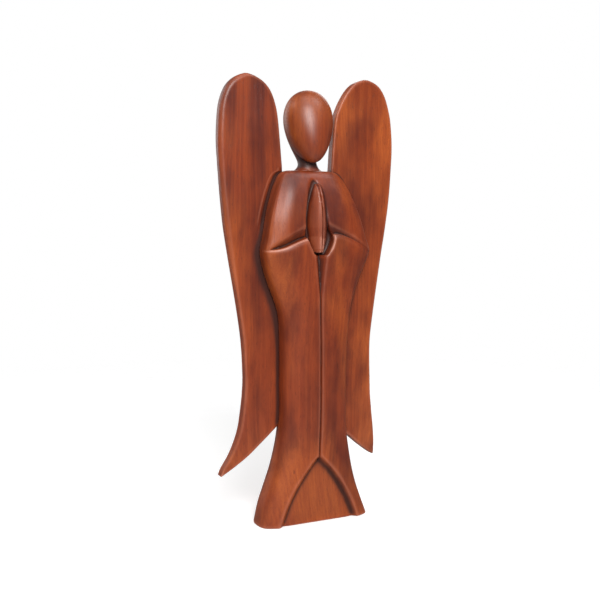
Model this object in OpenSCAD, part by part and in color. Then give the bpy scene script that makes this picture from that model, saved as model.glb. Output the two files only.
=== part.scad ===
// Carved wooden angel with folded hands, standing on the hem of its robe.
// It looks along -Y, +X is on its left, +Z is up, and the origin is the middle
// of the resting face. Nothing moves: dowels fill their bores and all is glued.

/* [Overall] */
// Height from the resting face to the tops of the wings
height = 500; // [470:1:530]
// Width of the hem at the resting face
base_w = 140; // [134:1:150]
// Depth of the hem at the resting face, front to back
base_d = 52; // [50:1:58]

/* [Wings] */
// Width across both wings at their widest
wing_span = 217; // [210:1:228]
// Thickness of the wing boards
wing_t = 12; // [11:0.5:14]
// Radius that the free edges of the wings are rounded to
wing_edge_r = 3.5; // [2:0.5:5]
// How far the wing tips lean to the rear
tip_sweep = 22; // [0:1:30]
// Gap left for glue between a wing's inner edge and the body
glue_gap = 0.3; // [0.1:0.1:0.6]

/* [Carving] */
// Width of the seam down the front of the robe
seam_w = 3.2; // [2:0.2:5]
// Depth of the seam
seam_depth = 3; // [2:0.5:5]
// Depth of the panel that shows in the parting of the hem
panel_depth = 6; // [3:0.5:8]
// Width of the sloping edges of the parting
panel_bevel = 5.5; // [1:0.5:7]
// Half the width of the two hands together
hands_half_w = 13.5; // [11:0.5:15]
// How far the hands stand up from the floor of their hollow
hands_rise = 13.5; // [10:0.5:15]

/* [Dowels] */
// Diameter of the dowel between head and body
neck_dowel_d = 10; // [8:0.5:12]
// Length of the dowel between head and body
neck_dowel_l = 44; // [36:1:50]
// Diameter of the wing dowels
wing_dowel_d = 8; // [6:0.5:9]
// Depth of the wing dowels in the body
wing_dowel_in_body = 10; // [8:0.5:13]
// Depth of the wing dowels in the wing board
wing_dowel_in_wing = 7; // [5:0.5:8]

/* [Hidden] */
$fn = 48;

ROBE_COLOUR = [0.56, 0.27, 0.15];
HEAD_COLOUR = [0.62, 0.31, 0.18];
WING_COLOUR = [0.52, 0.25, 0.14];
DOWEL_COLOUR = [0.80, 0.66, 0.46];

// Scales from the tables below, which hold a figure 500 high, 217 across the
// wings and 140 x 52 at the hem, to the figure asked for.
kx = base_w / 140;
ky = base_d / 52;
kz = height / 500;
kw = wing_span / 217;
FAR = 80;
SIDES = [-1, 1];

// Body by height: z, half width on its right side (-X) and on its left (+X),
// front y, width and rise of the bevel at the front corner, lean of the flank, back y.
BODY = [
    [0, 70, 68.5, -26, 14, 12, 0, 26],
    [20, 66, 61.5, -25, 14, 12, 0, 25],
    [40, 59, 54.8, -24.5, 14, 12, 0, 24.5],
    [60, 52, 49.5, -24, 14, 12, 0, 24],
    [80, 47, 46, -23.5, 14, 12, 0, 23.5],
    [100, 43.5, 43.5, -23.5, 14, 12, 0, 23],
    [125, 41, 42.5, -23.5, 14, 12, 0, 22.5],
    [160, 41, 42.5, -23.5, 14, 12, 0, 22],
    [200, 41, 43.5, -23.5, 14, 12, 0, 22],
    [235, 43, 47, -23.5, 14, 12, 0, 22],
    [255, 49, 51.5, -24, 14, 11, 0, 22.5],
    [275, 56.5, 58, -24.5, 14, 10, 0, 23],
    [292, 61.5, 65, -25.5, 15, 9, 0, 23.5],
    [306, 64, 68, -26, 16, 8, 0, 24],
    [320, 61.5, 63.5, -25.5, 16, 7.5, 1, 24],
    [345, 57, 56, -24, 16, 7, 2, 23.5],
    [368, 51, 48, -20, 14, 7, 4, 23],
    [385, 44.5, 40, -13.5, 11, 5, 5, 22],
    [391, 40, 35, -10, 9, 4, 5, 21],
    [394, 34, 29, -7, 7, 3, 4, 20],
];
BODY_RINGS = 54;
BACK_CORNER = 14;

// Head and neck by height: z, half width, front y and back y.
HEAD = [
    [394, 13.5, -6, 20],
    [396, 12, -5, 19],
    [399, 11.3, -4, 18],
    [403, 11.3, -4.5, 18.5],
    [404, 12, -12.5, 19.5],
    [407, 15.5, -15, 21.5],
    [414, 20.5, -17, 25.5],
    [424, 24.5, -19, 29.5],
    [436, 28, -19.5, 33],
    [448, 29, -19.5, 34],
    [460, 27, -17, 33],
    [470, 23, -12.5, 29.5],
    [478, 16, -5.5, 23],
    [482, 9, 0.5, 16.5],
    [483.6, 2.5, 6, 10.5],
];
HEAD_RINGS = 44;
HEAD_SIDES = 40;
NECK_Y = 7;
NECK_Z = 394;

// Wings by height: z, inner edge x and outer edge x. They are cut freehand, so
// the right one (-X) is longer and narrower at its tip than the left one (+X).
WING_RIGHT = [
    [50, 99, 100.8],
    [54, 93.5, 100],
    [60, 86.5, 98.5],
    [74, 73, 92.5],
    [90, 59, 87.5],
    [108, 40, 83.5],
    [122, 24, 82],
    [145, 24, 80.2],
    [168, 24, 79.5],
    [216, 24, 82.5],
    [326, 24, 100.5],
    [362, 27, 104.5],
    [396, 32.5, 107.3],
    [425, 35.3, 108.7],
    [455, 38.5, 107.2],
    [469, 41.8, 104.6],
    [480, 46.5, 100.3],
    [487, 52, 95.5],
    [492, 58.5, 90],
    [496, 66.5, 83],
    [498, 73, 77],
];
WING_LEFT = [
    [56, 96, 97.8],
    [60, 89.5, 97.6],
    [76, 66, 94.8],
    [92, 46, 91],
    [104, 34, 88],
    [116, 24, 85.2],
    [140, 24, 81.2],
    [190, 24, 79.7],
    [215, 24, 81.5],
    [298, 24, 94],
    [328, 24, 99.3],
    [362, 24.6, 104],
    [396, 26.6, 106.8],
    [425, 28.6, 108],
    [455, 32, 105.5],
    [468, 36.9, 102.5],
    [480, 43.5, 98.5],
    [488, 49.3, 94],
    [494, 55.5, 88.5],
    [498, 62.5, 81],
    [500, 69, 74],
];
WING_RINGS = 60;
WING_FRONT_Y = 2;
EDGE_STEPS = 4;
FACE_STEPS = 5;
// The wing leans back below SWEEP_TOP_Z, from nothing at SWEEP_FROM_X.
SWEEP_TOP_Z = 170;
SWEEP_FROM_X = 46;
SWEEP_FULL_X = 96;
// Heights between which a wing's inner edge is glued into the body, and the
// top of the ledge under it.
GLUED_FROM_Z = 103;
GLUED_TO_Z = 392;
LEDGE_TOP_Z = 125;
STEP_TOP_Z = 400;

HOLLOW_FLOOR_Y = -14.5 * ky;
SEAM_FRONT_Y = -23.5 * ky;
// Heights down the seam and how far it wanders from the middle there.
SEAM = [[266, 1], [200, 2], [140, 2], [74, 0.3]];
PARTING_HALF_W = 49;
PARTING_TOP_Z = 76;
PARTING_R = 165;
PARTING_STEPS = 10;
PARTING_MOUTH_Y = -28 * ky;
PANEL_Y = -24.2 * ky + panel_depth;

DOWEL_X = 34;
DOWEL_Z = [345, 240, 135];

// ---- Shared functions ----

function wing_table(side) = side < 0 ? WING_RIGHT : WING_LEFT;

function reversed(list) = [for (i = [len(list) - 1 : -1 : 0]) list[i]];

function smoothstep(a, b, v) =
    let (t = min(1, max(0, (v - a) / (b - a))))
    t * t * (3 - 2 * t);

// The table row that height z lies above, and the slope of a column there.
function row_at(table, z, i = 0) =
    i >= len(table) - 2 || z <= table[i + 1][0] ? i : row_at(table, z, i + 1);
function slope(table, i, column) =
    let (a = max(i - 1, 0), b = min(i + 1, len(table) - 1))
    (table[b][column] - table[a][column]) / (table[b][0] - table[a][0]);

// Smooth value of a column at height z, a cubic between rows.
function value_at(table, z, column) =
    let (i = row_at(table, z), low = table[i], high = table[i + 1],
         dz = high[0] - low[0], t = (z - low[0]) / dz, s = 1 - t)
    low[column] * (1 + 2 * t) * s * s + high[column] * t * t * (3 - 2 * t)
    + slope(table, i, column) * dz * t * s * s
    - slope(table, i + 1, column) * dz * t * t * s;

// Heights of about n rings, each table row among them.
function ring_heights(table, n) =
    let (rows = len(table), span = table[rows - 1][0] - table[0][0])
    concat([for (i = [0 : rows - 2])
                let (dz = table[i + 1][0] - table[i][0], steps = max(1, round(n * dz / span)))
                for (k = [0 : steps - 1]) table[i][0] + dz * k / steps],
           [table[rows - 1][0]]);

// One pass of corner cutting on a closed outline.
function cut_corners(points) =
    let (n = len(points))
    [for (i = [0 : n - 1]) each
        [points[i] * 0.75 + points[(i + 1) % n] * 0.25,
         points[i] * 0.25 + points[(i + 1) % n] * 0.75]];

function middle_of(ring) =
    let (one = [for (p = ring) 1])
    one * ring / len(ring);

// Closed solid through a stack of rings with equal point counts, counted
// anticlockwise as seen from the last ring. Its two ends are fans.
module loft(rings) {
    sides = len(rings[0]);
    count = len(rings);
    first = sides * count;
    last = first + 1;
    polyhedron(
        points = concat([for (ring = rings) each ring],
                        [middle_of(rings[0]), middle_of(rings[count - 1])]),
        faces = [for (k = [0 : sides - 1])
            let (n = (k + 1) % sides)
            each concat(
                [[first, k, n], [last, (count - 1) * sides + n, (count - 1) * sides + k]],
                [for (r = [0 : count - 2])
                    each [[r * sides + k, (r + 1) * sides + k, (r + 1) * sides + n],
                          [r * sides + k, (r + 1) * sides + n, r * sides + n]]])]);
}

// An outline in x and z, extruded from y = front to y = back.
module slab(front, back) {
    translate([0, back, 0]) rotate([90, 0, 0]) linear_extrude(back - front) children();
}

// ---- Body: robe, sleeves and folded hands from one block ----

// Outline of one side of the body, from the front to the back.
function body_side(z, column, side) =
    let (w = value_at(BODY, z, column), front = value_at(BODY, z, 3),
         bevel = value_at(BODY, z, 4), rise = value_at(BODY, z, 5),
         lean = value_at(BODY, z, 6), back = value_at(BODY, z, 7))
    [[side * (w - lean - bevel), front],
     [side * (w - lean), front + rise],
     [side * w, WING_FRONT_Y],
     [side * w, back - BACK_CORNER],
     [side * (w - BACK_CORNER), back]];

function body_ring(z) =
    let (outline = concat([[0, value_at(BODY, z, 3)]], body_side(z, 2, 1),
                          [[0, value_at(BODY, z, 7)]], reversed(body_side(z, 1, -1))))
    [for (p = cut_corners(cut_corners(outline))) [p[0] * kx, p[1] * ky, z * kz]];

// The hollow that the hands stand in, with the channel below them. It is wider on the
// right-hand side (-X), and its lower end opens into the sleeve on the left.
module hands_hollow() {
    right = [[-2, 262], [-8.5, 303], [-12, 312], [-16, 322], [-17, 336], [-15.3, 352],
             [-12, 367], [-8.5, 378], [-3.5, 383.5]];
    left = [[1, 379.5], [4.2, 368], [7.2, 351], [9, 337], [11.5, 330], [16.5, 324.5],
            [17.2, 319], [14.5, 310], [10, 303], [3.5, 262]];
    slab(-FAR, HOLLOW_FLOOR_Y) polygon([for (p = concat(right, left)) [p[0] * kx, p[1] * kz]]);
}

// The opening of one sleeve: a crescent that closes at the elbow.
module sleeve_opening(side) {
    upper = [[13, 334], [29, 327.5], [42, 321], [54, 313.5], [61, 307]];
    lower = side < 0 ? [[52, 307], [43, 309], [33, 313.5], [24, 317.5], [13, 320.5]]
                     : [[52, 312], [42, 317.5], [30, 323], [20, 325], [13, 321]];
    slab(-FAR, HOLLOW_FLOOR_Y)
        polygon([for (p = concat(upper, lower)) [side * p[0] * kx, p[1] * kz]]);
}

// Two pressed hands. Each level is z, share of the width and share of the rise.
module hands() {
    levels = [[300, 0.52, 0.87], [318, 0.80, 0.95], [338, 1, 1],
              [358, 0.74, 0.93], [370, 0.46, 0.74], [378, 0.12, 0.30]];
    back = HOLLOW_FLOOR_Y + 2;
    loft([for (level = levels)
        let (half = level[1] * hands_half_w * kx,
             rise = level[2] * hands_rise * ky,
             cheek = HOLLOW_FLOOR_Y - 0.7 * rise,
             ridge = HOLLOW_FLOOR_Y - rise,
             z = level[0] * kz)
        [[0, ridge, z], [0.6 * half, cheek, z], [half, HOLLOW_FLOOR_Y, z], [half, back, z],
         [-half, back, z], [-half, HOLLOW_FLOOR_Y, z], [-0.6 * half, cheek, z]]]);
}

// Arched outline of the parting of the hem at depth y, grown outwards by grow.
function parting_arch(grow, y) =
    let (half = (PARTING_HALF_W - panel_bevel + grow) * kx,
         apex = (PARTING_TOP_Z - panel_bevel + grow) * kz,
         run = norm([half, apex]) / 2,
         reach = sqrt(PARTING_R * PARTING_R - run * run),
         centre = [half, apex] / 2 - reach * [apex, half] / (2 * run),
         first = atan2(-centre[1], half - centre[0]),
         last = atan2(apex - centre[1], -centre[0]),
         arc = [for (i = [0 : PARTING_STEPS - 1])
             let (a = first + (last - first) * i / PARTING_STEPS)
             centre + PARTING_R * [cos(a), sin(a)]],
         side = concat([[half, -2]], arc))
    [for (p = concat(side, [[0, apex]], [for (q = reversed(side)) [-q[0], q[1]]]))
        [p[0], y, p[1]]];

// The parting, cut back to the panel inside it.
module hem_parting() {
    mouth = panel_bevel * (PANEL_Y - PARTING_MOUTH_Y) / panel_depth;
    loft([parting_arch(0, PANEL_Y), parting_arch(mouth, PARTING_MOUTH_Y)]);
}

// The seam from the hands down to the parting.
module seam() {
    right = [for (p = SEAM) [p[1] * kx - seam_w / 2, p[0] * kz]];
    left = [for (p = SEAM) [p[1] * kx + seam_w / 2, p[0] * kz]];
    slab(-FAR, SEAM_FRONT_Y + seam_depth) polygon(concat(right, reversed(left)));
}

// The step in one flank that a wing is glued into, open to the rear.
module wing_step(side) {
    table = wing_table(side);
    inner_edge = [for (z = ring_heights(table, WING_RINGS)) if (z < STEP_TOP_Z)
        [value_at(table, z, 1) * kw - glue_gap, (z - (z < LEDGE_TOP_Z ? glue_gap : 0)) * kz]];
    outline = concat(inner_edge, [[2 * FAR, STEP_TOP_Z * kz], [2 * FAR, table[0][0] * kz]]);
    slab(WING_FRONT_Y, FAR) polygon([for (p = outline) [side * p[0], p[1]]]);
}

module body() color(ROBE_COLOUR) difference() {
    union() {
        difference() {
            loft([for (z = ring_heights(BODY, BODY_RINGS)) body_ring(z)]);
            hands_hollow();
            for (side = SIDES) sleeve_opening(side);
            seam();
            hem_parting();
            for (side = SIDES) wing_step(side);
        }
        hands();
    }
    neck_dowel_shape();
    for (side = SIDES, z = DOWEL_Z) wing_dowel_shape(side, z);
}

// ---- Head and neck ----

function head_ring(z) =
    let (w = value_at(HEAD, z, 1), front = value_at(HEAD, z, 2), back = value_at(HEAD, z, 3))
    [for (k = [0 : HEAD_SIDES - 1])
        let (a = 360 * k / HEAD_SIDES)
        [w * sin(a), (front + back) / 2 - (back - front) / 2 * cos(a), z * kz]];

module head() color(HEAD_COLOUR) difference() {
    loft([for (z = ring_heights(HEAD, HEAD_RINGS)) head_ring(z)]);
    neck_dowel_shape();
}

// ---- Wings ----

// Rearward lean of a wing at a point; it is flat where it is glued.
function sweep(x, z) =
    tip_sweep * pow(max(0, (SWEEP_TOP_Z - z) / (SWEEP_TOP_Z - WING_LEFT[0][0])), 2)
    * smoothstep(SWEEP_FROM_X, SWEEP_FULL_X, x);

// Half the thickness at distance d from a rounded edge.
function edge_half(d) =
    let (r = wing_edge_r, to_flat = max(0, r - d))
    wing_t / 2 - r + sqrt(r * r - to_flat * to_flat);

// Section of a wing: round at its free edges, square where it is glued.
function wing_ring(table, z) =
    let (inner = value_at(table, z, 1), outer = value_at(table, z, 2),
         glued = z > GLUED_FROM_Z && z < GLUED_TO_Z,
         r = min(wing_edge_r, (outer - inner) / 2.5),
         to_end = min(z - table[0][0], table[len(table) - 1][0] - z),
         thin = edge_half(to_end) / (wing_t / 2),
         turns = [for (k = [0 : EDGE_STEPS])
             let (a = 90 * k / EDGE_STEPS)
             [r * (1 - cos(a)), thin * (wing_t / 2 - wing_edge_r * (1 - sin(a)))]],
         outer_edge = [for (t = turns) [outer - t[0], t[1]]],
         inner_edge = [for (t = turns) [inner + (glued ? 0 : t[0]), t[1]]],
         from = outer_edge[EDGE_STEPS],
         to = inner_edge[EDGE_STEPS],
         face = [for (k = [1 : FACE_STEPS - 1]) from + (to - from) * k / FACE_STEPS],
         rear = concat(outer_edge, face, reversed(inner_edge)),
         front = [for (p = reversed(rear)) [p[0], -p[1]]])
    [for (p = concat(front, rear))
        [p[0] * kw, WING_FRONT_Y + wing_t / 2 + p[1] + sweep(p[0], z), z * kz]];

module wing(side) color(WING_COLOUR) difference() {
    table = wing_table(side);
    mirror([side < 0 ? 1 : 0, 0, 0])
        loft([for (z = ring_heights(table, WING_RINGS)) wing_ring(table, z)]);
    for (z = DOWEL_Z) wing_dowel_shape(side, z);
}

// ---- Dowels ----

module neck_dowel_shape() {
    translate([0, NECK_Y, NECK_Z * kz - neck_dowel_l / 2])
        cylinder(d = neck_dowel_d, h = neck_dowel_l);
}

module wing_dowel_shape(side, z) {
    translate([side * DOWEL_X, WING_FRONT_Y - wing_dowel_in_body, z * kz]) rotate([-90, 0, 0])
        cylinder(d = wing_dowel_d, h = wing_dowel_in_body + wing_dowel_in_wing);
}

module neck_dowel() color(DOWEL_COLOUR) neck_dowel_shape();
module wing_dowel(side, z) color(DOWEL_COLOUR) wing_dowel_shape(side, z);

body();
head();
wing(-1);  // wing_right
wing(1);  // wing_left
neck_dowel();
wing_dowel(-1, DOWEL_Z[0]);  // wing_dowel_right_upper
wing_dowel(-1, DOWEL_Z[1]);  // wing_dowel_right_middle
wing_dowel(-1, DOWEL_Z[2]);  // wing_dowel_right_lower
wing_dowel(1, DOWEL_Z[0]);  // wing_dowel_left_upper
wing_dowel(1, DOWEL_Z[1]);  // wing_dowel_left_middle
wing_dowel(1, DOWEL_Z[2]);  // wing_dowel_left_lower
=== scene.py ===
"""Looks of the carved wooden angel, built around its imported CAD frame.

The four carved pieces are meshed from fields: functions of x, y and z that are
below zero inside the wood and close to a distance near its surface. Fields are
in millimetres, in the frame's own axes: the figure faces -Y and +X is its left.
"""
import math

import bpy
import numpy as np
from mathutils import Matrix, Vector


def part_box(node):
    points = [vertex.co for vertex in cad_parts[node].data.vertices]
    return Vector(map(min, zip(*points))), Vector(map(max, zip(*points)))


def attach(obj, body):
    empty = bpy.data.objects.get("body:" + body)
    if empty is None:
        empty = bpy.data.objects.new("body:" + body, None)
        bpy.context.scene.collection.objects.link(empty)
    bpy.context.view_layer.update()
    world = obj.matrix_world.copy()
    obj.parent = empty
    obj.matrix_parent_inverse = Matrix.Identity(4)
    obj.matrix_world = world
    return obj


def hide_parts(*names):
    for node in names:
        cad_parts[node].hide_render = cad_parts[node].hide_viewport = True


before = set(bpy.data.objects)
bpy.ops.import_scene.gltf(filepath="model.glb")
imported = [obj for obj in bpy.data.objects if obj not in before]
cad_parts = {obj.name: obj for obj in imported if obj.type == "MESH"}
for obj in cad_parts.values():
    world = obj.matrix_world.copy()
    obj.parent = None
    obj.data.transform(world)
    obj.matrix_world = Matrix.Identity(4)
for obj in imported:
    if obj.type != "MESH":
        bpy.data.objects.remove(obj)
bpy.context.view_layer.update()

MM = 0.001

# Driving sizes, from the frame.
BODY_SPAN = (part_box("body")[1].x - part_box("body")[0].x) / MM
WING_SPAN = (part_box("wing_left")[1].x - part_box("wing_right")[0].x) / MM
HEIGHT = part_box("wing_left")[1].z / MM

# Scales from the tables below to the frame.
KX = BODY_SPAN / 138.5
KZ = HEIGHT / 500
KW = WING_SPAN / 216.7

# Body by height: z, half width on its right side (-X) and on its left (+X),
# front y, width and rise of the bevel at the front corner, lean of the flank, back y.
BODY = [
    [0, 70, 68.5, -26, 14, 12, 0, 26],
    [20, 66, 61.5, -25, 14, 12, 0, 25],
    [40, 59, 54.8, -24.5, 14, 12, 0, 24.5],
    [60, 52, 49.5, -24, 14, 12, 0, 24],
    [80, 47, 46, -23.5, 14, 12, 0, 23.5],
    [100, 43.5, 43.5, -23.5, 14, 12, 0, 23],
    [125, 41, 42.5, -23.5, 14, 12, 0, 22.5],
    [160, 41, 42.5, -23.5, 14, 12, 0, 22],
    [200, 41, 43.5, -23.5, 14, 12, 0, 22],
    [235, 43, 47, -23.5, 14, 12, 0, 22],
    [255, 49, 51.5, -24, 14, 11, 0, 22.5],
    [275, 56.5, 58, -24.5, 14, 10, 0, 23],
    [292, 61.5, 65, -25.5, 15, 9, 0, 23.5],
    [306, 64, 68, -26, 16, 8, 0, 24],
    [320, 61.5, 63.5, -25.5, 16, 7.5, 1, 24],
    [345, 57, 56, -24, 16, 7, 2, 23.5],
    [368, 51, 48, -20, 14, 7, 4, 23],
    [385, 44.5, 40, -13.5, 11, 5, 5, 22],
    [391, 40, 35, -10, 9, 4, 5, 21],
    [394, 34, 29, -7, 7, 3, 4, 20],
]
SHOULDER_Z = 394
BACK_CORNER = 14

# Wings by height: z, inner edge x and outer edge x.
WING_RIGHT = [
    [50, 99, 100.8],
    [54, 93.5, 100],
    [60, 86.5, 98.5],
    [74, 73, 92.5],
    [90, 59, 87.5],
    [108, 40, 83.5],
    [122, 24, 82],
    [145, 24, 80.2],
    [168, 24, 79.5],
    [216, 24, 82.5],
    [326, 24, 100.5],
    [362, 27, 104.5],
    [396, 32.5, 107.3],
    [425, 35.3, 108.7],
    [455, 38.5, 107.2],
    [469, 41.8, 104.6],
    [480, 46.5, 100.3],
    [487, 52, 95.5],
    [492, 58.5, 90],
    [496, 66.5, 83],
    [498, 73, 77],
]
WING_LEFT = [
    [56, 96, 97.8],
    [60, 89.5, 97.6],
    [76, 66, 94.8],
    [92, 46, 91],
    [104, 34, 88],
    [116, 24, 85.2],
    [140, 24, 81.2],
    [190, 24, 79.7],
    [215, 24, 81.5],
    [298, 24, 94],
    [328, 24, 99.3],
    [362, 24.6, 104],
    [396, 26.6, 106.8],
    [425, 28.6, 108],
    [455, 32, 105.5],
    [468, 36.9, 102.5],
    [480, 43.5, 98.5],
    [488, 49.3, 94],
    [494, 55.5, 88.5],
    [498, 62.5, 81],
    [500, 69, 74],
]
WING_FRONT_Y = 2
WING_T = 12
WING_EDGE_R = 1.6
# The right wing's outer front edge is rounder in its upper half.
WING_SOFT_R = 5.2
# The edges are less round than the CAD draws them, so the outline is trimmed to match.
WING_TRIM = 0.9
GLUE_GAP = 0.3
STEP_TOP_Z = 400
# The wing tips lean back below SWEEP_TOP_Z, most at SWEEP_FULL_X.
TIP_SWEEP = 22
SWEEP_TOP_Z = 170
SWEEP_SPAN_Z = 114
SWEEP_FROM_X = 46
SWEEP_FULL_X = 96


# ---- Field tools ----

def soft_max(a, b, k):
    """The larger of two fields, with the corner between them rounded over k."""
    near = np.maximum(k - np.abs(a - b), 0)
    return np.maximum(a, b) + near * near / (4 * k)


def soft_min(a, b, k):
    return -soft_max(-a, -b, k)


def ramp(value, start, end):
    """Smooth step from 0 at start to 1 at end."""
    t = np.clip((value - start) / (end - start), 0, 1)
    return t * t * (3 - 2 * t)


def column(table, index, scale=1.0):
    """Smooth function of height through one column of a table, as the CAD draws it."""
    rows = np.array(table, float)
    z, v = rows[:, 0] * KZ, rows[:, index] * scale
    slope = np.gradient(v, z)
    slope[1:-1] = (v[2:] - v[:-2]) / (z[2:] - z[:-2])
    fine = np.linspace(z[0], z[-1], 1200)
    i = np.clip(np.searchsorted(z, fine) - 1, 0, len(z) - 2)
    dz = z[i + 1] - z[i]
    t = (fine - z[i]) / dz
    s = 1 - t
    curve = (v[i] * (1 + 2 * t) * s * s + v[i + 1] * t * t * (3 - 2 * t)
             + slope[i] * dz * t * s * s - slope[i + 1] * dz * t * t * s)
    return lambda height: np.interp(height, fine, curve)


def smooth_line(points, passes=3, closed=True):
    """An outline with its corners cut, pass by pass."""
    line = np.array(points, float)
    for _ in range(passes):
        after = np.roll(line, -1, axis=0)
        if not closed:
            line, after = line[:-1], after[:-1]
        line = np.stack([line * 0.75 + after * 0.25, line * 0.25 + after * 0.75], 1).reshape(-1, 2)
    return line


def outline_distance(outline):
    """Distance in x and z to a closed outline, below zero inside it."""
    ends = np.roll(outline, -1, axis=0)

    def distance(x, z):
        x, z = np.broadcast_arrays(np.asarray(x, float), np.asarray(z, float))
        best = np.full(x.shape, np.inf)
        inside = np.zeros(x.shape, bool)
        for (ax, az), (bx, bz) in zip(outline, ends):
            ex, ez = bx - ax, bz - az
            px, pz = x - ax, z - az
            t = np.clip((px * ex + pz * ez) / (ex * ex + ez * ez + 1e-12), 0, 1)
            best = np.minimum(best, (px - t * ex) ** 2 + (pz - t * ez) ** 2)
            if ez != 0:
                inside ^= ((az > z) != (bz > z)) & (px < pz * ex / ez)
        return np.where(inside, -1, 1) * np.sqrt(best)

    return distance


def hand_worked(x, y, z, seed):
    """Slight unevenness that rasp and sandpaper leave, from -1 to 1."""
    a = np.sin(x / 9.1 + seed + 1.3 * np.sin(z / 23))
    b = np.sin(y / 7.7 + z / 17.3 + 2 * seed)
    c = np.sin(z / 12.1 + 1.1 * np.sin(x / 13 + seed))
    return (a + b + c) / 3


# ---- Meshing a field ----

PROJECT_STEP = 0.15


def gradient(field, points, value):
    """Slope of the field at points, by small steps along each axis."""
    slopes = []
    for axis in range(3):
        moved = points.copy()
        moved[:, axis] += PROJECT_STEP
        slopes.append((field(*moved.T) - value) / PROJECT_STEP)
    return np.stack(slopes, 1)


def project(field, points, limit):
    """Points moved onto the zero surface of the field."""
    value = field(*points.T)
    slope = gradient(field, points, value)
    step = slope * (value / np.maximum((slope ** 2).sum(1), 0.05))[:, None]
    return points - np.clip(step, -limit, limit)


def neighbours_mean(points, pairs):
    """Mean of each point's neighbours along the mesh edges."""
    a, b = pairs.T
    both = np.concatenate([a, b])
    other = np.concatenate([b, a])
    count = np.bincount(both, minlength=len(points))
    sums = [np.bincount(both, points[other, axis], len(points)) for axis in range(3)]
    return np.stack(sums, 1) / np.maximum(count, 1)[:, None]


def surface(field, low, high, cell):
    """Points, quads and edges of the zero surface of the field inside a box."""
    axes = [np.arange(a - 2 * cell, b + 3 * cell, cell) for a, b in zip(low, high)]
    shape = [len(axis) for axis in axes]
    grid = (axes[0][:, None, None], axes[1][None, :, None], axes[2][None, None, :])
    values = np.broadcast_to(field(*grid), shape)
    inside = values < 0
    part = (slice(None, -1), slice(1, None))
    corners = [(i, j, k) for i in (0, 1) for j in (0, 1) for k in (0, 1)]
    count = sum(inside[part[i], part[j], part[k]].astype(np.int8) for i, j, k in corners)
    cells = np.argwhere((count > 0) & (count < 8))
    total = np.zeros((len(cells), 3))
    hits = np.zeros(len(cells))
    for start in corners:
        for axis in range(3):
            if start[axis]:
                continue
            end = [start[n] + (n == axis) for n in range(3)]
            a = values[tuple((cells + start).T)]
            b = values[tuple((cells + end).T)]
            crossed = (a < 0) != (b < 0)
            where = (cells + start)[crossed].astype(float)
            where[:, axis] += a[crossed] / (a[crossed] - b[crossed])
            total[crossed] += where
            hits += crossed
    points = total / hits[:, None] * cell + [axis[0] for axis in axes]

    number = np.full(count.shape, -1)
    number[tuple(cells.T)] = np.arange(len(cells))
    quads = []
    for axis in range(3):
        first = np.take(inside, range(shape[axis] - 1), axis)
        second = np.take(inside, range(1, shape[axis]), axis)
        found = np.argwhere(first != second)
        back_b = np.eye(3, dtype=int)[(axis + 1) % 3]
        back_c = np.eye(3, dtype=int)[(axis + 2) % 3]
        around = (found - back_b - back_c, found - back_c, found, found - back_b)
        ring = np.stack([number[tuple(cell_at.T)] for cell_at in around], 1)
        leaving = first[tuple(found.T)]
        quads.append(np.where(leaving[:, None], ring, ring[:, ::-1]))
    quads = np.concatenate(quads)
    pairs = np.sort(np.concatenate([quads[:, [n, (n + 1) % 4]] for n in range(4)]), 1)
    pairs = np.unique(pairs, axis=0)

    for _ in range(2):
        points = project(field, points, cell)
    points += 0.5 * (neighbours_mean(points, pairs) - points)
    for _ in range(2):
        points = project(field, points, cell / 2)
    return points, quads, pairs


RELIEF_PASSES = 14


def relief(points, pairs, normals):
    """How far the surface lies below (+) or above (-) its own smoothed shape, in mm."""
    smooth = points
    for _ in range(RELIEF_PASSES):
        smooth = neighbours_mean(smooth, pairs)
    return ((smooth - points) * normals).sum(1)


def carve(name, field, low, high, cell, material, painted_shading_at):
    """A mesh object on the field's surface. Its relief is kept for the painted shade in hollows and for
    the wear and painted highlights on edges, with the painted shade and highlights that the last
    argument adds where the piece meets another and in its carved recesses."""
    points, quads, pairs = surface(field, low, high, cell)
    mesh = bpy.data.meshes.new(name)
    mesh.from_pydata((points * MM).tolist(), [], quads.tolist())
    mesh.shade_smooth()
    normals = np.empty(len(points) * 3, np.float32)
    mesh.vertex_normals.foreach_get("vector", normals)
    # Relief plus painted shade and painted highlights, which set the colour in the material.
    depth = relief(points, pairs, normals.reshape(-1, 3)) + painted_shading_at(*points.T)
    attribute = mesh.attributes.new("relief", "FLOAT", "POINT")
    attribute.data.foreach_set("value", depth.astype(np.float32))
    mesh.materials.append(material)
    piece = bpy.data.objects.new(name, mesh)
    bpy.context.scene.collection.objects.link(piece)
    print(name, len(points), "points", len(quads) * 2, "triangles")
    return piece


# ---- Body: robe, sleeves and folded hands ----

right_w = column(BODY, 1, KX)
left_w = column(BODY, 2, KX)
front_y = column(BODY, 3)
bevel_w = column(BODY, 4)
bevel_rise = column(BODY, 5)
flank_lean = column(BODY, 6)
back_y = column(BODY, 7)


def plane(u, y, au, ay, bu, by):
    """Distance outside the upright plane that runs from (au, ay) to (bu, by), front to back."""
    du, dy = bu - au, by - ay
    return ((u - au) * dy - (y - ay) * du) / np.sqrt(du * du + dy * dy)


def blank(x, y, z):
    """The block before its front is carved."""
    u = np.abs(x)
    w = np.where(x < 0, right_w(z), left_w(z))
    front, back = front_y(z), back_y(z)
    rise, lean = bevel_rise(z), flank_lean(z)
    ridge_u, ridge_y = w - lean, front + rise
    facet = plane(u, y, ridge_u - bevel_w(z), front, ridge_u, ridge_y)
    flank = plane(u, y, ridge_u, ridge_y, w, WING_FRONT_Y)
    cape = ramp(z, 285, 330)
    shape = soft_max(front - y, facet, 14 - 11 * cape)
    shape = soft_max(shape, flank, 9 - 7.5 * cape)
    shape = soft_max(shape, u - w, 6)
    shape = soft_max(shape, (u - w + y - back + BACK_CORNER) * math.sqrt(0.5), 10)
    shape = soft_max(shape, y - back, 10)
    return soft_max(shape, z - SHOULDER_Z * KZ, 3.0)


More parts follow.
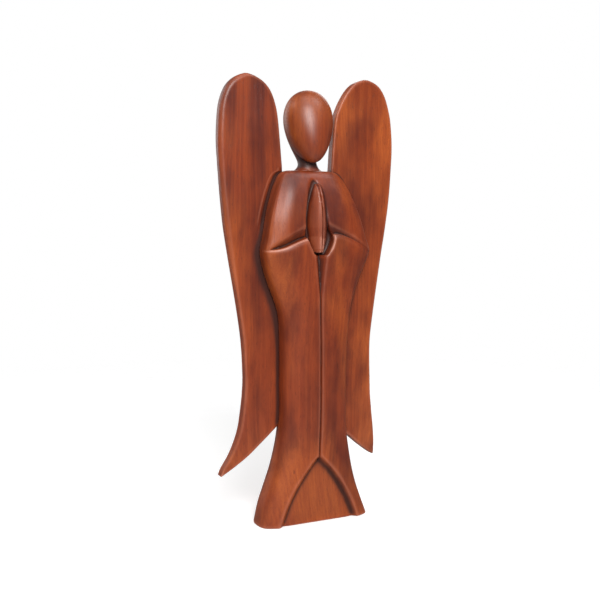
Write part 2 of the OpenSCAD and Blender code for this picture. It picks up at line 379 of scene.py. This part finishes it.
# The opening of each sleeve by distance from the middle: x, upper edge z, lower edge z.
SLEEVE_RIGHT = [[8, 336.5, 322.5], [13, 334, 320.5], [24, 329.8, 317.3], [33, 325.7, 313.5],
                [43, 320.4, 309.2], [52, 314.8, 307.1], [61, 307, 307], [70, 299, 308]]
SLEEVE_LEFT = [[8, 336.5, 319], [13, 334, 321], [20, 331.3, 325], [30, 327, 323],
               [42, 321, 317.6], [52, 315, 312.4], [62, 307.5, 306.5], [70, 299, 305]]


def sleeve_edges(table):
    lines = [smooth_line([[row[0], row[n]] for row in table], 2, False) for n in (1, 2)]
    return [lambda x, line=line: np.interp(np.abs(x), line[:, 0], line[:, 1]) for line in lines]


right_top, right_bottom = sleeve_edges(SLEEVE_RIGHT)
left_top, left_bottom = sleeve_edges(SLEEVE_LEFT)


def sleeve_depth(x, z):
    """Depth of the sleeve openings: two facets down to a crease behind the lower lip."""
    below = np.where(x < 0, right_top(x), left_top(x)) - z
    above = z - np.where(x < 0, right_bottom(x), left_bottom(x))
    gap = np.maximum(below + above, 0)
    facets = soft_max(0.7 * below, 2.1 * (below - 0.52 * gap), 0.6)
    near_hands = ramp(np.abs(x), 58, 16)
    lip = soft_max(4.0 * above, 0, 1.6 + 1.6 * near_hands)
    roll = (0.6 + 1.7 * near_hands) * np.clip(1 + above / 5.5, 0, 1) ** 1.5
    return soft_min(soft_max(facets, 0, 1), lip + roll, 0.5)


HOLLOW = [[-6.5, 301], [-8.5, 305], [-12, 312], [-16, 322], [-17, 336], [-15.3, 352],
          [-12, 367], [-8.5, 378], [-3.5, 383.5], [1, 379.5], [4.2, 368], [7.2, 351],
          [9, 337], [11.5, 330], [16.5, 324.5], [17.2, 319], [14.5, 310], [10, 303], [7.5, 300.5]]
HOLLOW_FLOOR_Y = -14.5
HOLLOW_LEAST = 3
hollow_distance = outline_distance(smooth_line(HOLLOW, 2))


def hollow_floor_y(z):
    return np.maximum(HOLLOW_FLOOR_Y, front_y(z) + HOLLOW_LEAST)


# The seam by height: z, how far it wanders from the middle.
SEAM = [[74, 0.3], [140, 2], [200, 2], [266, 1], [300, 0.8]]
seam_x = column(SEAM, 1)
SEAM_DEPTH = 3.4
CHANNEL_TOP_Z = 304
CHANNEL_END_Z = 258
CHANNEL_TOP_W = 7.2
CHANNEL_END_W = 1.9


def front_cuts(x, z):
    """Depth of the seam and of the widening channel above it."""
    off = np.abs(x - seam_x(z))
    seam = soft_max(SEAM_DEPTH - 2.2 * off, 0, 0.9) * ramp(z, 70, 74)
    share = np.clip((z - CHANNEL_END_Z) / (CHANNEL_TOP_Z - CHANNEL_END_Z), 0, 1)
    half = CHANNEL_END_W + (CHANNEL_TOP_W - CHANNEL_END_W) * share
    channel = soft_max(1.3 * (half - off), 0, 2.6) * ramp(z, CHANNEL_END_Z - 14, CHANNEL_END_Z + 4)
    return np.where(z < CHANNEL_TOP_Z + 4, np.maximum(seam, channel), 0)


PARTING_HALF_W = 49
PARTING_TOP_Z = 76
PARTING_R = 165
PANEL_DEPTH = 6
PANEL_BEVEL = 5.5


def parting_outline():
    """The arch of the panel in the parted hem: two arcs that meet at the top."""
    half, apex = PARTING_HALF_W - PANEL_BEVEL, PARTING_TOP_Z - PANEL_BEVEL
    run = math.hypot(half, apex) / 2
    reach = math.sqrt(PARTING_R ** 2 - run ** 2)
    cx = half / 2 - reach * apex / (2 * run)
    cz = apex / 2 - reach * half / (2 * run)
    angles = np.linspace(math.atan2(-cz, half - cx), math.atan2(apex - cz, -cx), 16)
    side = [[cx + PARTING_R * math.cos(a), cz + PARTING_R * math.sin(a)] for a in angles]
    side = [[half + 0.5, -20]] + side
    return np.array(side + [[-p[0], p[1]] for p in side[-2::-1]])


parting_distance = outline_distance(parting_outline())


def parting_depth(x, z):
    wall = (PANEL_BEVEL - parting_distance(x, z)) * PANEL_DEPTH / PANEL_BEVEL
    return soft_max(soft_min(wall, PANEL_DEPTH, 1.0), 0, 1.2)


# The folded hands by height: z, share of their half width, share of their rise.
HANDS = [[296, 0.50, 0.86], [304, 0.56, 0.88], [318, 0.82, 0.95], [338, 1, 1],
         [356, 0.84, 0.94], [368, 0.60, 0.80], [375, 0.40, 0.58], [379, 0.18, 0.32]]
HANDS_HALF_W = 13
HANDS_RISE = 13.5
HANDS_BOTTOM_Z = 304
HANDS_BACK_Y = -8
HANDS_ROOF = 1.55
hands_w = column(HANDS, 1, HANDS_HALF_W)
hands_rise = column(HANDS, 2, HANDS_RISE)


def hands(x, y, z):
    """Two pressed palms, seen as a pointed leaf with a groove down its ridge."""
    w, rise = hands_w(z), hands_rise(z)
    out = (HOLLOW_FLOOR_Y + 1 - y) / (rise + 1)
    roof = HANDS_ROOF
    round_shape = ((np.abs(x) / w) ** roof + np.maximum(out, 0) ** roof) ** (1 / roof) - 1
    shape = round_shape * np.minimum(w, rise) * 0.8
    groove_x = 1.4 - 2.2 * ramp(z, 345, 378)
    groove = soft_max(2.4 - 2.0 * np.abs(x - groove_x), 0, 0.7)
    shape = shape + groove * ramp(y, -12, -18)
    shape = np.maximum(shape, np.maximum(y - HANDS_BACK_Y, z - HANDS[-1][0] * KZ))
    return soft_max(shape, HANDS_BOTTOM_Z - z, 0.8)


wing_inner = {-1: column(WING_RIGHT, 1, KW), 1: column(WING_LEFT, 1, KW)}


def body(x, y, z):
    facing = ramp(y, 0, -8)
    cuts = np.maximum(sleeve_depth(x, z), front_cuts(x, z))
    cuts = np.maximum(cuts, np.where(z < 90, parting_depth(x, z), 0))
    shape = blank(x, y, z) + 0.35 * hand_worked(x, y, z, 0.4) * ramp(z, 0, 15)
    shape = soft_max(shape + cuts * facing, -z, 1.2)
    hollow = soft_max(hollow_distance(x, z) * 0.95, y - hollow_floor_y(z), 4)
    shape = soft_max(shape, -hollow, 2.2 + 2.6 * ramp(z, 315, 345) * ramp(x, 4, -6))
    shape = soft_min(shape, hands(x, y, z), 1.0)
    inner = np.where(x < 0, wing_inner[-1](z), wing_inner[1](z)) - GLUE_GAP
    step = np.maximum(np.maximum(WING_FRONT_Y - y, inner - np.abs(x)), z - STEP_TOP_Z * KZ)
    return np.maximum(shape, -step)


# Strength of the painted shade and painted highlights that each piece adds to its relief.
PAINTED_SHADING_SCALE = 1.8


def body_painted_shading(x, y, z):
    """Painted shade in the corners at the wing boards, under the sleeves, along the flanks, round the
    neck and the hands, in the hollow, the sleeve openings and the channel below the hands, on the
    parting's left edge and on the panel. Painted highlights on an arris beside the wing corner, on
    the right sleeve's lip, on the hollow's rim and on the palms."""
    off = WING_FRONT_Y - y
    front = y < -6
    side = ramp(z, 96, 106) * ramp(z, 396, 388) * (np.abs(x) > 30) * (off > -0.5)
    corner = np.clip(1 - off / 2.2, 0, 1)
    arris_z = np.maximum(ramp(z, 300, 340), ramp(z, 200, 240) * ramp(z, 312, 296) * (x > 0))
    arris_highlight = np.clip(1 - np.abs(off - 5) / 2.6, 0, 1) * arris_z
    under_sleeve = ramp(z, 312, 294) * ramp(z, 190, 290) * ramp(off, 26, 0) * 0.5
    flank = ramp(off, 25, 10) * 0.3
    to_neck = np.clip(1 - (np.hypot(x, y - 7) - 15) / 5, 0, 1) * (z > SHOULDER_Z * KZ - 3)
    hollow_off = hollow_distance(x, z)
    hollow_edge = np.clip(1 - hollow_off / 7, 0, 1) * front * ramp(z, 305, 335)
    hollow_floor = ramp(hollow_off, 0.5, -1.5) * ramp(y, hollow_floor_y(z) - 2.2,
                                                      hollow_floor_y(z) - 0.8) * front
    channel = np.clip(front_cuts(x, z) / 3, 0, 1) * (y < -10) * ramp(z, 240, 270)
    sleeve = ramp(sleeve_depth(x, z), 0.9, 3.2) * front
    wall = parting_depth(x, z) * (z < 90) * front
    panel = ramp(wall, 4.5, 5.8) * 0.22
    wall = ramp(wall, 0.4, 1.6) * ramp(wall, 6, 5) * ramp(x, -20, 15)
    lip = np.clip(1 - np.abs(right_bottom(x) - 1.4 - z) / 1.8, 0, 1) * ramp(-x, 67, 60) * ramp(-x, 8, 12)
    rim = np.clip(1 - np.abs(hollow_off - 1.2) / 1.6, 0, 1) * ramp(z, 303, 309) * ramp(z, 328, 322)
    palm = ramp(hollow_off, -1, -4) * ramp(y, hollow_floor_y(z) - 2.5, hollow_floor_y(z) - 5)
    # Painted highlights on the right sleeve's lip, the hollow's rim and the palms.
    painted_highlight = np.maximum(np.maximum(lip, rim * (x > 8)), 0.45 * palm) * front
    parts = [corner * side, under_sleeve * side, flank * side, 0.5 * to_neck, 0.6 * hollow_floor,
             0.3 * hollow_edge ** 2, 0.4 * channel, 0.35 * sleeve, 0.5 * wall, panel]
    return PAINTED_SHADING_SCALE * (np.max(np.broadcast_arrays(*parts), axis=0) - 0.45 * arris_highlight * side - painted_highlight)


# ---- Head and neck ----

HEAD_TOP_Z = 483.6
CHIN_Z = 402.5
# The neck and the back of the head behind the jaw: z, half width, front y, back y.
NECK = [[394, 19, -4.8, 22.5], [395, 16, -4.2, 21], [397, 13.4, -3.5, 19.5],
        [400, 11.4, -2.7, 19], [404, 10.6, -1.6, 20.5], [408, 11.2, -1, 23], [414, 13.2, -0.5, 27],
        [422, 16.6, -1, 31], [432, 21, -3, 33.4], [442, 24.4, -5.5, 34], [452, 25.2, -7, 33.5],
        [462, 22, -4, 29], [470, 14, 0, 22]]
neck_w = column(NECK, 1)
neck_front = column(NECK, 2)
neck_back = column(NECK, 3)


def egg(x, y, z):
    middle = (HEAD_TOP_Z + CHIN_Z) / 2 * KZ
    half = (HEAD_TOP_Z - CHIN_Z) / 2 * KZ
    t = (z - middle) / half
    lean = ((HEAD_TOP_Z * KZ - z) / (2 * half)) ** 3
    w = 27.4 + 6 * np.clip(t, -1.3, 1.3)
    d = 26.6 + 1.5 * np.clip(t, -1.3, 1.3)
    across = (x / w) ** 2 + ((y - 8.2 + 14.5 * lean) / d) ** 2 + t * t
    return (np.sqrt(across) - 1) * 24


def head(x, y, z):
    w, front, back = neck_w(z), neck_front(z), neck_back(z)
    d = (back - front) / 2
    round_shape = np.sqrt((x / w) ** 2 + ((y - (front + back) / 2) / d) ** 2)
    neck = (round_shape - 1) * np.minimum(w, d) * 0.85
    neck = np.maximum(neck, z - 466 * KZ)
    shape = soft_min(egg(x, y, z), neck, 0.7)
    shape = shape + 0.25 * hand_worked(x, y, z, 1.9)
    return np.maximum(shape, SHOULDER_Z * KZ - 0.2 - z)


def head_painted_shade(x, y, z):
    """Painted shade on the neck under the chin and behind the jaw."""
    on_neck = ramp(egg(x, y, z), 0.2, 1.0)
    return PAINTED_SHADING_SCALE * 0.8 * on_neck * ramp(z, 430, 408) * ramp(z, 394, 401) * ramp(y, 20, 4)


# ---- Wings ----

GROOVE_W = 4.5
GROOVE_DEPTH = 1.3


def groove_share(side, z):
    """Where the right wing is grooved beside the cape."""
    return ramp(z, 325, 345) * ramp(z, 399, 394) * (side < 0)


def wing_painted_shading(side):
    """Painted shade on a wing's front beside the flank, widest under the sleeve; a painted highlight on
    its groove's lip.
    """
    flank_w = right_w if side < 0 else left_w

    def painted_shading(x, y, z):
        off = np.abs(x) - flank_w(z)
        reach = 4 + 8 * ramp(z, 190, 250) * ramp(z, 330, 290)
        near = np.clip(1 - off / reach, 0, 1) * ramp(z, 92, 104) * ramp(z, 402, 392)
        lip = np.clip(1 - np.abs(off - GROOVE_W - 0.6) / 1.3, 0, 1) * groove_share(side, z)
        front = y < WING_FRONT_Y + WING_T / 2
        deep = 0.8 + 0.2 * ramp(z, 190, 250) * ramp(z, 330, 290)
        return PAINTED_SHADING_SCALE * (deep * near ** 1.5 - 0.6 * lip) * front

    return painted_shading


def wing(side):
    table = WING_RIGHT if side < 0 else WING_LEFT
    inner, outer = column(table, 1, KW), column(table, 2, KW)
    bottom, top = table[0][0] * KZ, table[-1][0] * KZ
    turn = 0.5 - 0.5 * np.cos(np.linspace(0, math.pi, 90))
    heights = bottom + (top - bottom) * turn
    up = np.stack([outer(heights), heights], 1)
    down = np.stack([inner(heights), heights], 1)[::-1]
    distance = outline_distance(np.concatenate([up, down]))
    flank_w = right_w if side < 0 else left_w

    def field(x, y, z):
        u = x * side
        low = np.maximum((SWEEP_TOP_Z * KZ - z) / SWEEP_SPAN_Z, 0)
        swept = y - TIP_SWEEP * low ** 2 * ramp(u, SWEEP_FROM_X, SWEEP_FULL_X)
        d = distance(u, z) + WING_TRIM
        front = y < WING_FRONT_Y + WING_T / 2
        softened = ramp(z, 240, 330) * ramp(u, 58, 84) * (side < 0)
        r = WING_EDGE_R + (WING_SOFT_R - WING_EDGE_R) * softened * front
        across = np.abs(swept - WING_FRONT_Y - WING_T / 2) - WING_T / 2
        across = across + 0.3 * hand_worked(x, 0 * y, z, 3.1 + side)
        groove = np.clip((GROOVE_W + flank_w(z) - u) / GROOVE_W, 0, 1) * groove_share(side, z)
        across = across + GROOVE_DEPTH * groove * front
        a, b = np.maximum(d + r, 0), np.maximum(across + r, 0)
        return np.sqrt(a * a + b * b) - r + np.minimum(np.maximum(d, across) + r, 0)

    return field


# ---- Materials ----

class Nodes:
    """A material's node tree, with short ways to add and join nodes."""

    def __init__(self, name):
        self.material = bpy.data.materials.new(name)
        self.material.use_nodes = True
        self.tree = self.material.node_tree
        self.shader = self.tree.nodes["Principled BSDF"]

    def add(self, kind, inputs=(), **settings):
        node = self.tree.nodes.new(kind)
        for key, value in settings.items():
            setattr(node, key, value)
        for key, value in dict(inputs).items():
            if isinstance(value, bpy.types.NodeSocket):
                self.tree.links.new(value, node.inputs[key])
            else:
                node.inputs[key].default_value = value
        return node

    def math(self, operation, a, b=0.0, clamp=False):
        return self.add("ShaderNodeMath", {0: a, 1: b}, operation=operation,
                        use_clamp=clamp).outputs[0]

    def stretch(self, value, low, high, to_low=0.0, to_high=1.0):
        """value from low..high to to_low..to_high, clamped and smooth."""
        ranges = {"Value": value, "From Min": low, "From Max": high,
                  "To Min": to_low, "To Max": to_high}
        return self.add("ShaderNodeMapRange", ranges, interpolation_type="SMOOTHSTEP").outputs[0]

    def scaled(self, vector, scale, shift=(0, 0, 0)):
        places = {"Vector": vector, "Scale": scale, "Location": shift}
        return self.add("ShaderNodeMapping", places).outputs[0]

    def noise(self, vector, scale, detail=3.0, roughness=0.55):
        values = {"Vector": vector, "Scale": scale, "Detail": detail, "Roughness": roughness}
        return self.add("ShaderNodeTexNoise", values).outputs["Fac"]

    def mix(self, share, a, b, blend="MIX"):
        node = self.add("ShaderNodeMix", data_type="RGBA", blend_type=blend)
        for key, value in ((0, share), (6, a), (7, b)):
            if isinstance(value, bpy.types.NodeSocket):
                self.tree.links.new(value, node.inputs[key])
            else:
                node.inputs[key].default_value = value
        return node.outputs[2]


def rgb(red, green, blue):
    """A colour given as a screen shows it, 0 to 255, as linear light."""
    return tuple(((v / 255 + 0.055) / 1.055) ** 2.4 for v in (red, green, blue)) + (1.0,)


ORANGE = rgb(166, 78, 28)
BROWN = rgb(134, 55, 24)
DEEP = rgb(90, 34, 21)
PORE = rgb(44, 19, 13)
# Dark colour of the painted shade in hollows, creases and joints.
PAINTED_SHADE_COLOUR = rgb(50, 18, 10)
# Paler colour for convex edges: partly wear, partly painted highlight.
WEAR_AND_HIGHLIGHT_COLOUR = rgb(200, 122, 92)
# Pale pink of the painted highlights on the sleeve lip, the hollow's rim and the palms.
PAINTED_HIGHLIGHT_COLOUR = rgb(212, 148, 126)


def stained_wood(name, shift, light, middle, dark, stripes, sheen=0.36):
    """Stained and varnished hardwood with upright grain, with painted shade and highlights from the
    mesh's relief. stripes sets how strongly it bands and sheen how much light the varnish returns."""
    n = Nodes(name)
    place = n.add("ShaderNodeTexCoord").outputs["Object"]
    bend = n.noise(n.scaled(place, (5, 5, 2.2), shift), 1.0, 2.0)
    bent = n.add("ShaderNodeVectorMath", {0: place, 1: (0, 0, 0)}, operation="ADD")
    wander = n.math("MULTIPLY", n.math("SUBTRACT", bend, 0.5), 0.075)
    push = n.add("ShaderNodeCombineXYZ", {"X": wander, "Y": wander})
    n.tree.links.new(push.outputs[0], bent.inputs[1])
    grain = bent.outputs[0]
    bands = n.noise(n.scaled(grain, (38, 26, 1.9), shift), 1.0, 3.0, 0.6)
    clouds = n.noise(n.scaled(place, (21, 21, 12), shift), 1.0, 3.0, 0.55)
    streaks = n.noise(n.scaled(grain, (330, 260, 5), shift), 1.0, 3.0, 0.6)
    fibres = n.noise(n.scaled(grain, (1500, 1500, 28), shift), 1.0, 2.0, 0.6)
    patches = n.noise(n.scaled(place, (13, 13, 7), shift), 1.0, 3.0, 0.55)
    pores = n.noise(n.scaled(grain, (2100, 2100, 150), shift), 1.0, 1.0, 0.4)

    mottle = n.math("MULTIPLY", n.math("SUBTRACT", clouds, 0.5), 0.9)
    mottle = n.math("ADD", n.math("MULTIPLY", n.math("SUBTRACT", bands, 0.5), stripes), mottle)
    colour = n.mix(n.stretch(mottle, -0.24, 0.16), dark, middle)
    warm = n.stretch(patches, 0.44, 0.68)
    colour = n.mix(n.math("MULTIPLY", warm, 0.8), colour, light)
    colour = n.mix(1.0, colour, n.add("ShaderNodeCombineColor", {
        "Red": n.stretch(streaks, 0.3, 0.7, 0.86, 1.08),
        "Green": n.stretch(streaks, 0.3, 0.7, 0.80, 1.12),
        "Blue": n.stretch(streaks, 0.3, 0.7, 0.86, 1.06)}).outputs[0], "MULTIPLY")
    fine = n.stretch(fibres, 0.3, 0.7, 0.90, 1.07)
    colour = n.mix(1.0, colour, n.add("ShaderNodeCombineColor", {
        "Red": fine, "Green": fine, "Blue": fine}).outputs[0], "MULTIPLY")
    marks = n.noise(n.scaled(place, (170, 170, 70), shift), 1.0, 1.0, 0.4)
    colour = n.mix(n.stretch(marks, 0.76, 0.84, 0.0, 0.4), colour, PORE)
    open_pores = n.stretch(pores, 0.66, 0.74)
    colour = n.mix(n.math("MULTIPLY", open_pores, 0.55), colour, PORE)

    depth = n.add("ShaderNodeAttribute", attribute_name="relief").outputs["Fac"]
    # Painted shade: darker where the surface lies below its smoothed shape and where pieces add shade at
    # joints and recesses.
    painted_shading = n.stretch(depth, 0.08, 1.3)
    colour = n.mix(n.math("MULTIPLY", painted_shading, 0.9), colour, PAINTED_SHADE_COLOUR)
    # Lighter on convex edges and where pieces add highlights: partly wear, partly painted highlight.
    wear_and_highlight = n.stretch(depth, -0.12, -0.75)
    colour = n.mix(n.math("MULTIPLY", wear_and_highlight, 0.19), colour, WEAR_AND_HIGHLIGHT_COLOUR)
    # Painted highlight where pieces add strong highlights, mainly the sleeve lip and the hollow's rim.
    painted_highlight = n.stretch(depth, -0.9, -1.8)
    colour = n.mix(n.math("MULTIPLY", painted_highlight, 0.4), colour, PAINTED_HIGHLIGHT_COLOUR)
    n.tree.links.new(colour, n.shader.inputs["Base Color"])

    gloss = n.stretch(patches, 0.3, 0.7, 0.34, 0.42)
    gloss = n.math("ADD", gloss, n.math("MULTIPLY", painted_shading, 0.2))
    n.tree.links.new(gloss, n.shader.inputs["Roughness"])
    n.shader.inputs["Specular IOR Level"].default_value = sheen
    n.shader.inputs["Coat Weight"].default_value = 0.15
    n.shader.inputs["Coat Roughness"].default_value = 0.32
    height = n.math("SUBTRACT", n.math("MULTIPLY", fibres, 0.4), open_pores)
    height = n.math("ADD", height, n.math("MULTIPLY", streaks, 0.8))
    bump = n.add("ShaderNodeBump", {"Height": height, "Strength": 0.22, "Distance": 0.0004})
    n.tree.links.new(bump.outputs[0], n.shader.inputs["Normal"])
    return n.material


def dowel_wood():
    n = Nodes("raw_dowel_wood")
    place = n.add("ShaderNodeTexCoord").outputs["Object"]
    grain = n.noise(n.scaled(place, (900, 900, 60)), 1.0, 3.0)
    colour = n.mix(n.stretch(grain, 0.3, 0.7), rgb(186, 146, 98), rgb(222, 190, 142))
    n.tree.links.new(colour, n.shader.inputs["Base Color"])
    n.shader.inputs["Roughness"].default_value = 0.75
    bump = n.add("ShaderNodeBump", {"Height": grain, "Strength": 0.2, "Distance": 0.0003})
    n.tree.links.new(bump.outputs[0], n.shader.inputs["Normal"])
    return n.material


body_wood = stained_wood("body_wood", (0.3, 1.1, 0.2), ORANGE, BROWN, DEEP, 0.7)
head_wood = stained_wood("head_wood", (2.2, 0.4, 1.7), rgb(178, 88, 33), rgb(132, 55, 23), DEEP,
                         0.6, sheen=0.56)
right_wood = stained_wood("right_wing_wood", (5.1, 2.3, 0.9), rgb(160, 73, 27), BROWN, DEEP, 1.05)
left_wood = stained_wood("left_wing_wood", (7.7, 3.9, 4.4), rgb(178, 86, 34), rgb(136, 58, 25), DEEP,
                         0.7)

# ---- The pieces ----

BODY_CELL = 1.2
HEAD_CELL = 0.8
WING_CELL = 1.15
MARGIN = 2.0
pieces = [
    ("body_carving", "body", body, BODY_CELL, body_wood, body_painted_shading),
    ("head_carving", "head", head, HEAD_CELL, head_wood, head_painted_shade),
    ("wing_right_board", "wing_right", wing(-1), WING_CELL, right_wood, wing_painted_shading(-1)),
    ("wing_left_board", "wing_left", wing(1), WING_CELL, left_wood, wing_painted_shading(1)),
]
for piece_name, node, field, cell, material, painted_shading_at in pieces:
    low, high = (np.array(corner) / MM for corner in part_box(node))
    piece = carve(piece_name, field, low - MARGIN, high + MARGIN, cell, material, painted_shading_at)
    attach(piece, "root")
    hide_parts(node)

raw_wood = dowel_wood()
for name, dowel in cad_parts.items():
    if "dowel" in name:
        dowel.data.materials.clear()
        dowel.data.materials.append(raw_wood)

# ---- Stage ----

FLOOR_HALF = 6.0
FLOOR_Z = -0.0002


def floor_sheet():
    """A pale floor that fades into the white studio before it ends.
    The varnish doesn't mirror it, so the wood keeps its depth of colour."""
    h = FLOOR_HALF
    mesh = bpy.data.meshes.new("floor")
    mesh.from_pydata([(-h, -h, FLOOR_Z), (h, -h, FLOOR_Z), (h, h, FLOOR_Z), (-h, h, FLOOR_Z)],
                     [], [(0, 1, 2, 3)])
    n = Nodes("pale_floor")
    n.shader.inputs["Base Color"].default_value = (0.9, 0.9, 0.9, 1)
    n.shader.inputs["Roughness"].default_value = 0.9
    n.shader.inputs["Emission Color"].default_value = (1, 1, 1, 1)
    n.shader.inputs["Emission Strength"].default_value = 0.3
    place = n.add("ShaderNodeTexCoord").outputs["Object"]
    away = n.add("ShaderNodeVectorMath", {0: place}, operation="LENGTH").outputs["Value"]
    clear = n.add("ShaderNodeBsdfTransparent").outputs[0]
    mirrored = n.add("ShaderNodeLightPath").outputs["Is Glossy Ray"]
    gone = n.math("MAXIMUM", n.stretch(away, 0.35, 1.3), mirrored)
    fade = n.add("ShaderNodeMixShader", {0: gone, 1: n.shader.outputs[0], 2: clear})
    n.tree.links.new(fade.outputs[0], n.tree.nodes["Material Output"].inputs["Surface"])
    mesh.materials.append(n.material)
    sheet = bpy.data.objects.new("floor", mesh)
    bpy.context.scene.collection.objects.link(sheet)
    return sheet


floor_sheet()


MIDDLE = (0, 0, 0.28)


def softbox(name, place, size, power):
    """A rectangular area light aimed at the middle of the figure."""
    light = bpy.data.lights.new(name, "AREA")
    light.shape = "RECTANGLE"
    light.size, light.size_y = size
    light.energy = power
    lamp = bpy.data.objects.new(name, light)
    lamp.location = place
    aim = Vector(MIDDLE) - Vector(place)
    lamp.rotation_euler = aim.to_track_quat("-Z", "Y").to_euler()
    bpy.context.scene.collection.objects.link(lamp)


def around(azimuth, elevation, distance):
    """A place seen from the middle of the figure; azimuth 0 is straight in front of it."""
    a, e = math.radians(azimuth), math.radians(elevation)
    return (distance * math.sin(a) * math.cos(e), -distance * math.cos(a) * math.cos(e),
            MIDDLE[2] + distance * math.sin(e))


softbox("key_softbox", around(-14, 32, 1.7), (0.8, 0.9), 29)
softbox("upper_right_softbox", around(48, 58, 1.6), (0.6, 0.6), 4.5)
softbox("top_softbox", around(-24, 74, 1.5), (0.7, 0.7), 3)
softbox("left_softbox", around(-105, 38, 1.5), (0.5, 0.9), 4)
softbox("back_left_softbox", around(-150, 20, 1.8), (1.0, 1.2), 7)
softbox("back_right_softbox", around(140, 25, 1.8), (1.0, 1.2), 8)

STUDIO_GLOW = 0.16
world = bpy.data.worlds.new("white_studio")
world.use_nodes = True
glow = world.node_tree.nodes["Background"]
glow.inputs["Color"].default_value = (1, 1, 1, 1)
seen = world.node_tree.nodes.new("ShaderNodeLightPath")
strength = world.node_tree.nodes.new("ShaderNodeMapRange")
strength.inputs["To Min"].default_value = STUDIO_GLOW
strength.inputs["To Max"].default_value = 1.0
world.node_tree.links.new(seen.outputs["Is Camera Ray"], strength.inputs["Value"])
world.node_tree.links.new(strength.outputs[0], glow.inputs["Strength"])
bpy.context.scene.world = world
bpy.context.scene.view_settings.view_transform = "Standard"

# ---- Camera ----

CAMERA_PLACE = (-0.4526, -0.9047, 0.3354)
CAMERA_TARGET = (-0.0061, 0.015, 0.2489)
CAMERA_LENS = 54

camera_data = bpy.data.cameras.new("camera")
camera_data.lens = CAMERA_LENS
camera_data.sensor_width = 36
camera = bpy.data.objects.new("camera", camera_data)
camera.location = CAMERA_PLACE
view = Vector(CAMERA_TARGET) - Vector(CAMERA_PLACE)
camera.rotation_euler = view.to_track_quat("-Z", "Y").to_euler()
bpy.context.scene.collection.objects.link(camera)
bpy.context.scene.camera = camera
